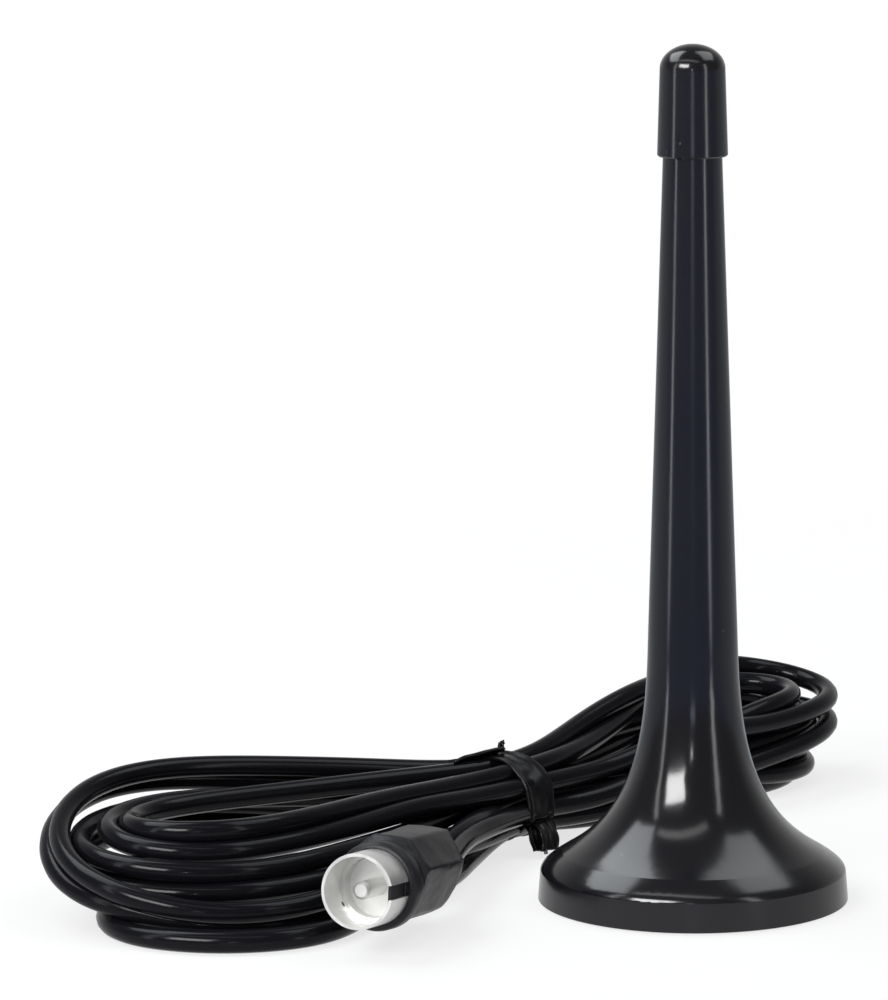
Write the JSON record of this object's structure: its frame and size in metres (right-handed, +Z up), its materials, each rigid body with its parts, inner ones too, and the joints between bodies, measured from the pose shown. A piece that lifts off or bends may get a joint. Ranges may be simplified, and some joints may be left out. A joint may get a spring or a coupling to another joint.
{
  "type": "hdtv antenna",
  "caption": "Small television aerial: a magnetic foot flaring into a slim mast, a cap that draws out a telescopic whip, and a tied coaxial lead with a push-on plug.",
  "frame": {"origin": "centre of the foot pad's underside, on the surface the aerial stands on", "axes": "+Z up the mast and along the whip, +Y the way the lead leaves the foot, +X to the right seen from the plug's side"},
  "size_m": [0.1065, 0.1227, 0.1104],
  "materials": {
    "gloss_black": "polished moulding",
    "whip_chrome": "bright plated brass",
    "spring_bronze": "plain",
    "terminal_brass": "turned",
    "tinned_steel": "tinned",
    "ferrite": "matt",
    "foot_foam": "matt",
    "cable_jacket": "satin",
    "moulded_black": "satin moulding",
    "tie_black": "satin",
    "plug_nickel": "nickel plated",
    "insulator_white": "plain",
    "copper_braid": "plain"
  },
  "bodies": {
    "aerial": {"mast_shell": "gloss_black", "whip_sleeve": "whip_chrome", "whip_terminal": "terminal_brass", "ground_plate": "tinned_steel", "ring_magnet": "ferrite", "foot_pad": "foot_foam", "cable_lead": "cable_jacket", "cable_hank": "cable_jacket", "cable_tail": "cable_jacket", "plug_boot": "moulded_black", "cable_grommet": "moulded_black", "twist_tie": "tie_black", "plug_sleeve": "plug_nickel", "plug_pin": "plug_nickel", "plug_insulator": "insulator_white", "core_wire": "insulator_white", "braid_pigtail": "copper_braid"},
    "whip_large": {"whip_tube_large": "whip_chrome", "friction_spring_large": "spring_bronze"},
    "whip_middle": {"whip_tube_middle": "whip_chrome", "friction_spring_middle": "spring_bronze"},
    "whip_small": {"whip_tube_small": "whip_chrome", "friction_spring_small": "spring_bronze"},
    "whip_tip": {"whip_rod": "whip_chrome", "friction_spring_rod": "spring_bronze", "tip_cap": "gloss_black"}
  },
  "joints": [
    {"name": "draw_large", "type": "slide", "parent": "aerial", "child": "whip_large", "axis": [0, 0, 1], "range_m": [0, 0.0773]},
    {"name": "draw_middle", "type": "slide", "parent": "whip_large", "child": "whip_middle", "axis": [0, 0, 1], "range_m": [0, 0.0781]},
    {"name": "draw_small", "type": "slide", "parent": "whip_middle", "child": "whip_small", "axis": [0, 0, 1], "range_m": [0, 0.0789]},
    {"name": "draw_tip", "type": "slide", "parent": "whip_small", "child": "whip_tip", "axis": [0, 0, 1], "range_m": [0, 0.0797]}
  ]
}
